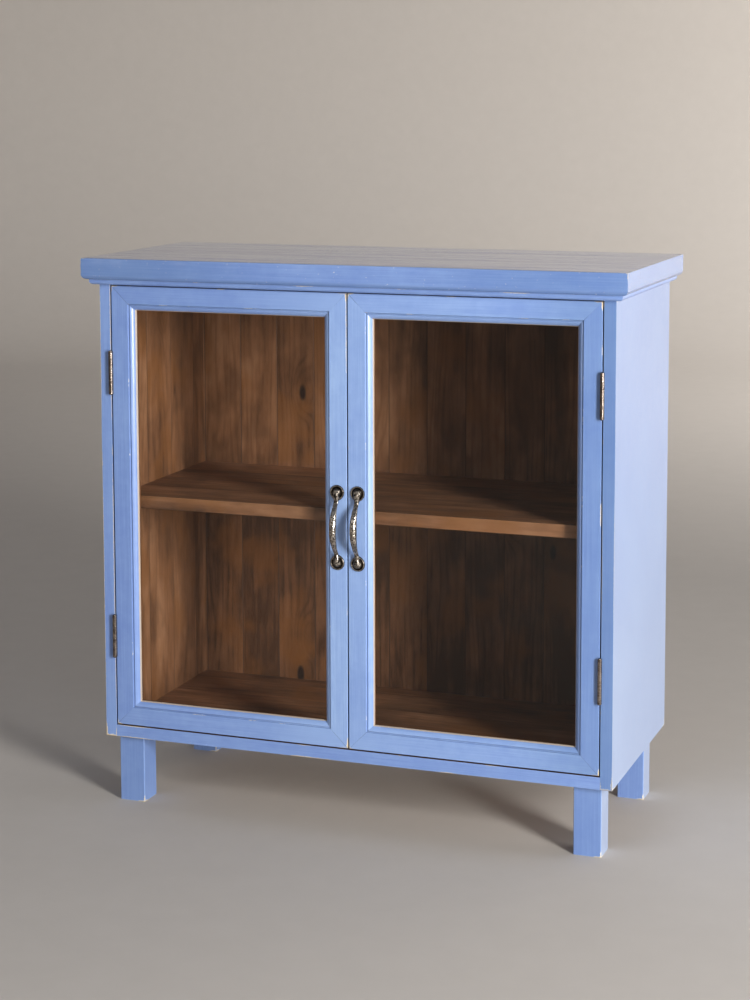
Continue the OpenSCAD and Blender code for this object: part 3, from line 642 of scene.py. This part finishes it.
def doorFinish(word, member, seed, faded):
    # the whole door's box gives the edges, so all four frame pieces of a door wear alike
    d, own, along = doorPaint, doorPaint[word], "z" if "stile" in member else "x"
    f = Finish(word + "Door" + member.title().replace("_", ""))
    box = joinBoxes(f"{word}_door_hinge_stile", f"{word}_door_meeting_stile")
    (left, front, foot), (right, _, top) = box
    inner, outer = (left, right) if word == "right" else (right, left)
    dx = (f.x - left).least(right - f.x)
    dz = (f.z - foot).least(top - f.z)
    near = dx.least(dz)                     # distance from the door's outline
    rubbed = f.noise(d["rubbed"], along, seed).smooth(*d["rubbedRange"])
    streakLevel = {"foot": foot, "top": top}[own["streakSide"]]
    for middle, reach in own["streaks"]:
        close = abs(f.x - middle).smooth(reach, reach * 0.4)
        rubbed = rubbed.most(close * abs(f.z - streakLevel).smooth(*d["streakDepth"]))
    arris = abs(near - d["shoulder"]).smooth(*d["arrisHalf"]) * (f.y < front + d["face"])
    worn = arris * rubbed * f.noise(d["broken"], along, seed).smooth(*d["brokenRange"])
    mitre = abs(dx - dz).smooth(*d["mitreHalf"]) * (near < d["frameWidth"] - cabinet["skin"])
    dirt = f.noise(d["dirt"], along, seed).smooth(*d["dirtRange"])
    mitre = mitre * (f.y < front + d["mitreDepth"]) * dirt
    spots = spotsIn(box, own["spots"], inner=inner, outer=outer)
    paint = paintLayer(f, edgeDistance(f, box), along, spots, seed, extraWear=worn, seams=mitre,
                       faded=faded)
    relief = near.smooth(*d["step"]) + near.smooth(*d["rise"])
    paint["height"] = paint["height"] + relief * (f.y < front + d["mouldingDepth"])
    # painted shade darkens the groove beside the step
    tint(f, paint, bluePaint["seamAndShade"], abs(near - d["groove"]).smooth(*d["grooveHalf"]) * d["grooveShade"])
    # painted shade on the door's edges, in the gaps
    gap = (near < d["gapEdge"]) * (f.y > front + d["gapStart"])
    tint(f, paint, bluePaint["seamAndShade"], gap * bluePaint["gapShade"])
    # a rail is painted paler towards the meeting side, a painted sheen, and deeper towards its far end, a
    # painted shade
    if along == "x":
        run = abs(f.x - inner)
        pale, deep = own["railEnds"]
        tint(f, paint, bluePaint["pale"], run.smooth(*d["railPale"], 0.0, pale))
        tint(f, paint, bluePaint["deepest"], run.smooth(*d["railDeep"], 0.0, deep))
    tint(f, paint, bluePaint["bareWood"], (near > d["frameWidth"] - d["bareEdge"]) * d["bareShare"])
    return f.shade(paint)


legPaint = {
    # how much deeper each leg is painted, a painted shade under the body
    "faded": {"front_left_leg": -0.2, "front_right_leg": -0.25,
              "rear_left_leg": -0.1, "rear_right_leg": -0.1},
    "wear": 0.7, "spots": ((("right", "front", 0.0), 14.0, 1.6), (("left", "back", 0.0), 16.0, 1.6)),
    "bleachedAndSheen": 0.45,                       # painted sheen with some faded paint, on the right legs' outer faces
}


def legFinish(nodeName, seed, faded):
    f = Finish(nodeName.title().replace("_", "") + "Paint")
    box = nodeBox(nodeName)
    spots = spotsIn(box, legPaint["spots"])
    paint = paintLayer(f, edgeDistance(f, box), "z", spots, seed, wear=legPaint["wear"], faded=faded)
    # the right legs' outer faces are paler, a painted sheen with some faded paint
    if box[0][0] > 0:
        tint(f, paint, bluePaint["bleachedAndSheen"], (f.x > box[1][0] - cabinet["skin"]) * legPaint["bleachedAndSheen"])
    return f.shade(paint)


topPaint = {
    "spots": (
        ((-296.3, "front", 790.0), 9.0, 1.6),
        ((-54.1, "front", 789.0), 12.0, 1.2),
        ((259.9, "front", 789.0), 10.0, 1.4),
        (("right", "front", "top"), 14.0, 1.2),
        (("left", "front", "top"), 14.0, 1.0),
    ),
    "rough": 0.14, "chips": 0.9, "streaks": 0.45, "relief": 3.0,
    # painted shade: how deep the front edge is painted towards its two ends and low down on its round, and
    # how deep the right end is painted
    "leftEnd": (-60.0, -330.0, 0.05, 0.45), "rightEnd": (60.0, 300.0, 0.05, 0.35), "edgeDepth": 8.0,
    "lowEdge": (10.0, 2.0), "lowDeep": 0.38, "endDepth": 2.0, "endDeep": 0.35,
    # streaks of thicker coat on the upper face
    "gloss": (0.045, 0.003, 41.0, 3.0, 0.6), "glossRange": (0.38, 0.62), "glossShare": 0.66,
}
mouldingPaint = {
    "spots": (((250.0, "front", "foot"), 30.0, 1.2), ((-60.0, "front", "foot"), 24.0, 1.0)),
    "wear": 1.2, "faded": -0.10,            # of the front piece; its deeper tone is painted shade under the top's overhang
}


def topFinish(t):
    f = Finish("topPaint")
    box = nodeBox("top_board")
    (_, front, foot), (right, _, top) = box
    paint = paintLayer(f, edgeDistance(f, box), "x", spotsIn(box, t["spots"]), 1.0, rough=t["rough"],
                       chips=t["chips"], streaks=t["streaks"], relief=t["relief"])
    # painted shade on the ends of the front edge, on its downward round and on the right end
    low = f.z.smooth(*(foot + level for level in t["lowEdge"]), 0.0, t["lowDeep"])
    ends = f.x.smooth(*t["leftEnd"]).most(f.x.smooth(*t["rightEnd"])).most(low)
    ends = ends * (f.y < front + t["edgeDepth"])
    tint(f, paint, bluePaint["deepest"], ends.most((f.x > right - t["endDepth"]) * t["endDeep"]))
    gloss = (f.z > top - cabinet["skin"]) * f.noise(t["gloss"], "x").smooth(*t["glossRange"])
    paint["coat"] = paint["coat"] * (gloss * t["glossShare"] + 1.0)
    return f.shade(paint)


beech = {"dark": (0.40, 0.25, 0.13), "middle": (0.55, 0.37, 0.21), "light": (0.68, 0.49, 0.30)}
plainWood = {"knots": 0.0}
# material, CAD nodes, way of the grain, seed and what differs
stainedPieces = (
    ("rearRailWood", ("rear_top_rail",), "x", 8.0, {}),
    ("shelfWood", ("shelf",), "x", 10.0, {"strip": ("y", -126.0, 74.0)}),
    ("leftUprightBeadWood", ("left_hinge_side_bead", "left_meeting_side_bead"), "z", 23.0, plainWood),
    ("rightUprightBeadWood", ("right_hinge_side_bead", "right_meeting_side_bead"), "z", 25.0, plainWood),
    ("leftLevelBeadWood", ("left_top_bead", "left_bottom_bead"), "x", 26.0, plainWood),
    ("rightLevelBeadWood", ("right_top_bead", "right_bottom_bead"), "x", 28.0, plainWood),
    ("beechDowel", ("body_dowels",), "x", 30.0, dict(plainWood, colours=beech)),
)
# the strips, and how much painted shade below the shelf darkens the stain from one height to another
backPanelStain = {"strip": ("x", 10.0, 63.0), "shade": (470.0, 330.0, 0.0, 0.17)}


def stainedWood(name, along, seed, **more):
    f = Finish(name)
    return f.shade(stainLayer(f, along, seed, **more))


def backPanelFinish(b):
    # painted shade: the stain is darker behind the lower compartment, under the shelf
    f = Finish("backPanelWood")
    return f.shade(stainLayer(f, "z", 9.0, b["strip"], shade=f.z.smooth(*b["shade"])))


def dress(names, material):
    # a CAD node keeps its shape and takes this material in its slots
    for name in [names] if isinstance(names, str) else names:
        for place in nodes[name].material_slots:
            place.material = material


def gridFaces(rows, columns):
    # quads between rings of points, each ring closed on itself
    i, j = np.meshgrid(np.arange(rows - 1), np.arange(columns), indexing="ij")
    k = (j + 1) % columns
    here, above = i * columns, (i + 1) * columns
    return np.stack([here + j, here + k, above + k, above + j], -1).reshape(-1, 4)


def ringSolid(rings):
    # a closed solid from a stack of rings, with a point in the middle of the first and the last one
    rows, columns, _ = rings.shape
    points = np.concatenate([rings.reshape(-1, 3), rings[:1].mean(1), rings[-1:].mean(1)])
    j = np.arange(columns)
    k = (j + 1) % columns
    first = np.stack([np.full(columns, rows * columns), k, j], -1)
    start = (rows - 1) * columns
    last = np.stack([start + j, start + k, np.full(columns, rows * columns + 1)], -1)
    return points, gridFaces(rows, columns).tolist() + first.tolist() + last.tolist()


def makePiece(name, solids, body, material, replaces, sharp, attributes=None):
    # solids are (points in millimetres, faces); the piece rides on a body and stands for CAD nodes;
    # an edge is sharp past so many degrees
    points, faces, start = [], [], 0
    for solidPoints, solidFaces in solids:
        points.append(solidPoints)
        faces += [[v + start for v in face] for face in solidFaces]
        start += len(solidPoints)
    mesh = bpy.data.meshes.new(name)
    mesh.from_pydata((np.concatenate(points) / 1000).tolist(), [], faces)
    for key, value in (attributes or {}).items():
        mesh.attributes.new(key, "FLOAT", "POINT").data.foreach_set("value", np.asarray(value, np.float32))
    work = bmesh.new()
    work.from_mesh(mesh)
    bmesh.ops.recalc_face_normals(work, faces=work.faces)
    work.to_mesh(mesh)
    work.free()
    mesh.polygons.foreach_set("use_smooth", np.ones(len(mesh.polygons), bool))
    mesh.set_sharp_from_angle(angle=math.radians(sharp))
    mesh.materials.append(material)
    piece = bpy.data.objects.new(name, mesh)
    scene.collection.objects.link(piece)
    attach(piece, body)
    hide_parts(*replaces)


handleShape = {
    "spacing": 101.6,                       # between the rounds' middles, in millimetres
    "rise": 19.1, "endRise": 3.8, "neck": 12.0, "archPower": 2.4, "smoothing": 15,
    "barRadius": 5.3, "endRadius": 3.5, "rootRadius": 4.7, "swell": 1.5, "rootRun": 1.6,
    "dents": 420, "dentSize": 1.7, "dentDepth": 0.34, "ridge": 0.9, "rings": 190, "sides": 56,
    # where the dents fade out towards the rounds: start as a share of the arch, length, least share
    "plainStart": 1.05, "plainRun": 6.0, "plainLeast": 0.15,
    "roundRadius": 10.6, "roundHeight": 6.3, "drop": 1.1, "dropPower": 6, "roundSides": 72,
    "beat": 0.10, "wobble": 0.10,           # how uneven the hammer has left a round's height and outline
    # a round's profile from its base over the rim and the groove: share of the radius, height
    "rim": (
        (0.40, 0.0), (0.97, 0.0), (1.0, 0.25), (1.0, 0.9), (0.985, 1.45), (0.95, 1.95), (0.90, 2.15),
        (0.85, 2.05), (0.80, 1.65), (0.755, 1.15), (0.72, 0.95), (0.68, 0.90), (0.64, 1.0), (0.615, 1.3),
    ),
    "domeShare": 0.60, "domeFoot": 1.5, "domeTurn": 0.97, "domeRings": 16,
    # how worn a round is at each height, the last one its whole height
    "wornHeights": (0, 0.9, 1.2, 2.1, 3.0), "wornShares": (0.1, 0.05, 0.05, 0.55, 0.15, 0.60),
    # how worn the bar is: everywhere, on the ridges between dents and up a dent; then the closing points
    "wornBar": 0.12, "wornRidge": 0.60, "wornBowl": 0.45, "wornEnds": (0.3, 0.3), "wornMiddles": (0.1, 0.6),
}


def handleBar(h, random):
    # the middle line rises from endRise to rise as 1 - |t| ** archPower, and its kinks are smoothed; the
    # radius swells towards the middle; each dent is a shallow bowl about the nearest of many random points
    half, arch = h["spacing"] / 2, h["spacing"] / 2 - h["neck"]
    u = np.linspace(-half, half, h["rings"])
    t = np.clip(np.abs(u) / arch, 0, 1)
    depth = h["endRise"] + (h["rise"] - h["endRise"]) * (1 - t ** h["archPower"])
    window = np.hanning(h["smoothing"])
    window /= window.sum()
    depth = np.convolve(np.pad(depth, h["smoothing"] // 2, mode="edge"), window, "valid")
    radius = h["endRadius"] + (h["barRadius"] - h["endRadius"]) * np.cos(np.pi / 2 * t) ** h["swell"]
    root = np.clip((np.abs(u) - arch) / h["neck"] * h["rootRun"], 0, 1)
    radius = radius + (h["rootRadius"] - h["endRadius"]) * root
    slope = np.gradient(depth, u)
    length = np.hypot(1, slope)
    out = np.stack([np.zeros_like(u), -1 / length, slope / length], 1)     # across the line, off the door
    turn = np.linspace(0, 2 * np.pi, h["sides"], endpoint=False)
    run = np.concatenate([[0], np.cumsum(np.hypot(np.diff(u), np.diff(depth)))])
    seedRun = random.uniform(0, run[-1], h["dents"])
    seedTurn = random.uniform(0, 2 * np.pi, h["dents"])
    du = run[:, None, None] - seedRun
    dt = (np.abs(turn[None, :, None] - seedTurn + np.pi) % (2 * np.pi) - np.pi) * radius[:, None, None]
    near = np.sort(np.hypot(du, dt), axis=2)[:, :, :2]
    ridge = np.clip(1 - (near[..., 1] - near[..., 0]) / h["ridge"], 0, 1)  # 1 between two dents
    bowl = np.clip(near[..., 0] / h["dentSize"], 0, 1) ** 2
    dented = np.clip((arch * h["plainStart"] - np.abs(u)) / h["plainRun"], h["plainLeast"], 1)[:, None]
    r = radius[:, None] - h["dentDepth"] * (1 - bowl) * dented
    middle = np.stack([np.zeros_like(u), -depth, u], 1)
    rings = (middle[:, None] + out[:, None] * (r * np.cos(turn))[..., None]
             + np.array([1.0, 0, 0]) * (r * np.sin(turn))[..., None])
    worn = np.clip(h["wornBar"] + h["wornRidge"] * ridge * dented + h["wornBowl"] * bowl, 0, 1)
    return ringSolid(rings), np.concatenate([worn.ravel(), h["wornEnds"]])


def handleRound(h, end, random):
    # a dome, a groove and a raised rim about one screw; the outline is drawn out a little towards the bar.
    # Rings run from the flat base outwards, over the rim and the groove, and up to the middle of the dome
    turn = np.linspace(0, 2 * np.pi, h["roundSides"], endpoint=False)
    towards = np.clip(np.cos(turn), 0, 1) ** h["dropPower"]
    outline = h["roundRadius"] + h["drop"] * towards
    dome = np.linspace(0, 1, h["domeRings"])[1:]
    rimShare, rimTall = np.transpose(h["rim"])
    share = np.concatenate([rimShare, h["domeShare"] * np.cos(dome * np.pi / 2 * h["domeTurn"])])
    domeTall = h["domeFoot"] + (h["roundHeight"] - h["domeFoot"]) * np.sin(dome * np.pi / 2)
    tall = np.concatenate([rimTall, domeTall])
    s, t = share[:, None], turn[None]
    beat = h["beat"] * np.sin(t * 9 + 1.3 + s * 5) * np.sin(t * 5 + s * 11)
    radius = s * outline[None] + h["wobble"] * random.standard_normal((len(share), 1))
    lift = tall[:, None] + beat * (tall[:, None] > 0.5)
    level = end * h["spacing"] / 2 - end * radius * np.cos(turn)
    rings = np.stack([radius * np.sin(turn), -lift, level], -1)
    worn = np.interp(tall, (*h["wornHeights"], h["roundHeight"]), h["wornShares"])
    return ringSolid(rings), np.concatenate([np.repeat(worn, len(turn)), h["wornMiddles"]])


def makeHandle(side, word, material):
    low, high = nodeBox(word + "_handle")
    random = np.random.default_rng(11 + side)
    parts = [handleBar(handleShape, random)] + [handleRound(handleShape, end, random) for end in (-1, 1)]
    centre = np.array([(low[0] + high[0]) / 2, cabinet["front"], (low[2] + high[2]) / 2])
    solids = [(points + centre, faces) for (points, faces), _ in parts]
    worn = np.concatenate([w for _, w in parts])
    makePiece(word + "HammeredHandle", solids, word + "_door", material,
              (word + "_handle",), 50, {"worn": worn})


topShape = {
    "round": 8.0, "ease": 1.5, "steps": 10, "perSide": 120, "dents": 26, "dentDepth": 0.55,
    # the dents' reach from the upper arris; then their height, reach and share on the lower edge
    "upperReach": 1.6, "lowerLevel": 3, "lowerReach": 2.0, "lowerShare": 0.5,
}


def makeTop(s, material):
    # rings from the underside round the lower edge, up the face and over the upper arris: each is the board's
    # outline moved in by the profile's inset on the left, the front and the right; small dents press the
    # arrises in
    low, high = nodeBox("top_board")
    a = np.linspace(0, np.pi / 2, s["steps"])
    inset = np.concatenate([s["round"] * (1 - np.sin(a)), s["ease"] * (1 - np.cos(a))])
    level = np.concatenate([low[2] + s["round"] * (1 - np.cos(a)), high[2] - s["ease"] * (1 - np.sin(a))])
    n = s["perSide"]
    run = np.linspace(0, 1, n)
    # the outline in shares: x from -1 to 1, y from 0 at the front to 1 at the back
    front = np.stack([-1 + 2 * run, np.zeros(n)], 1)
    right = np.stack([np.ones(n), run], 1)
    back = np.stack([1 - 2 * run, np.ones(n)], 1)
    left = np.stack([-np.ones(n), 1 - run], 1)
    outline = np.concatenate([front[:-1], right[:-1], back[:-1], left[:-1]])
    random = np.random.default_rng(5)
    press = np.zeros(len(outline))
    spots = random.integers(0, n * 3 // 2, s["dents"])
    depths = random.uniform(0.2, 1, s["dents"])
    for where, depth, wide in zip(spots, depths, random.uniform(0.4, 1.2, s["dents"])):
        press = press + depth * np.exp(-((np.arange(len(outline)) - where) / wide) ** 2)
    upper = np.exp(-((level - high[2]) / s["upperReach"]) ** 2)
    lower = np.exp(-((level - low[2] - s["lowerLevel"]) / s["lowerReach"]) ** 2)
    arris = upper + s["lowerShare"] * lower
    moved = inset[:, None] + s["dentDepth"] * arris[:, None] * np.clip(press, 0, 1)[None]
    half, depth = high[0], high[1] - low[1]
    x = outline[None, :, 0] * (half - moved)
    y = low[1] + moved + outline[None, :, 1] * (depth - moved)
    rings = np.stack([x, y, np.repeat(level[:, None], len(outline), 1)], -1)
    rows, columns = rings.shape[:2]
    faces = gridFaces(rows, columns).tolist()
    faces += [list(range(columns)), list(range((rows - 1) * columns, rows * columns))]
    makePiece("mouldedTop", [(rings.reshape(-1, 3), faces)], "cabinet", material,
              ("top_board",), 40)


studioShape = {
    "flat": 5.2, "sweep": 1.3, "wall": 4.0, "middle": 0.3,      # metres
    "flatRings": 12, "sweepRings": 14, "sides": 96,
    "dark": (0.525, 0.490, 0.454), "light": (0.565, 0.528, 0.491), "rough": 0.75,
    "speck": (0.02, 0.02, 1.0, 4.0, 0.6),
}


def studioFinish(s):
    f = Finish("paleFloor")
    return f.shade({"colour": f.mix(s["dark"], s["light"], f.noise(s["speck"])), "rough": s["rough"]})


def makeStudio(s):
    # a flat round floor that curves up into a wall all round, as a profile turned about the upright axis
    a = np.linspace(0, np.pi / 2, s["sweepRings"])[1:]
    flat = np.linspace(s["middle"], s["flat"], s["flatRings"])
    out = np.concatenate([flat, s["flat"] + s["sweep"] * np.sin(a), [s["flat"] + s["sweep"]]])
    up = np.concatenate([np.zeros(s["flatRings"]), s["sweep"] * (1 - np.cos(a)), [s["wall"]]])
    n = s["sides"]
    turn = np.linspace(0, 2 * np.pi, n, endpoint=False)
    x, y = out[:, None] * np.cos(turn), out[:, None] * np.sin(turn)
    rings = np.stack([x, y, np.repeat(up[:, None], n, 1)], -1)
    points = np.concatenate([rings.reshape(-1, 3), [[0, 0, 0]]])
    faces = gridFaces(len(out), n).tolist() + [[(j + 1) % n, j, len(points) - 1] for j in range(n)]
    mesh = bpy.data.meshes.new("studioFloor")
    mesh.from_pydata(points.tolist(), [], faces)
    mesh.polygons.foreach_set("use_smooth", np.ones(len(mesh.polygons), bool))
    mesh.materials.append(studioFinish(s))
    floor = bpy.data.objects.new("studioFloor", mesh)
    scene.collection.objects.link(floor)


makeCamera(photoCamera)
for box in softboxes:
    makeSoftbox(box)
makeSky(studioSky)
makeStudio(studioShape)
print("camera, light and floor are in place")

makeTop(topShape, topFinish(topPaint))
mouldBox = joinBoxes("front_top_moulding", "left_top_moulding", "right_top_moulding")
spots = spotsIn(mouldBox, mouldingPaint["spots"])
dress("front_top_moulding", paintedBoard("frontMouldingPaint", mouldBox, "x", spots, 2.0,
                                         wear=mouldingPaint["wear"], faded=mouldingPaint["faded"]))
dress(("left_top_moulding", "right_top_moulding"),
      paintedBoard("sideMouldingPaint", mouldBox, "y", seed=3.0))
dress("left_side", sidePanelFinish("left", 4.0))
dress("right_side", sidePanelFinish("right", 5.0))
dress("bottom_board", boardFinish("bottomBoardWood", "bottom_board", 6.0, boardPaint["bottomLip"],
                                  spots=boardPaint["bottomSpots"]))
dress("front_top_rail", boardFinish("frontRailWood", "front_top_rail", 7.0, cabinet["paintedLip"]))
dress("back_panel", backPanelFinish(backPanelStain))
for material, pieces, along, seed, more in stainedPieces:
    dress(pieces, stainedWood(material, along, seed, **more))
for number, (name, faded) in enumerate(legPaint["faded"].items()):
    dress(name, legFinish(name, 11.0 + number, faded))
for side, word in ((-1, "left"), (1, "right")):
    for number, (member, faded) in enumerate(zip(doorPaint["members"], doorPaint[word]["faded"])):
        dress(f"{word}_door_{member}", doorFinish(word, member, 16.0 + 5 * side + number, faded))
print("painted and stained wood is finished")

bronze = metalFinish("antiqueBronze", antiqueBronze, "worn")
dress(("left_glass", "right_glass"), glassFinish())
dress([n for n in nodes if n.endswith(("_leaf", "_hinge_pin"))], metalFinish("agedBrass", agedBrass))
dress([n for n in nodes if n.endswith(("_screws", "_studs"))], metalFinish("yellowSteel", platedSteel))
dress(("left_strike_plate", "right_strike_plate"), metalFinish("zincSteel", zincSteel))
dress("door_catch", plasticFinish(catchPlastic))
for side, word in ((-1, "left"), (1, "right")):
    makeHandle(side, word, bronze)
print("metal, glass and handles are finished")
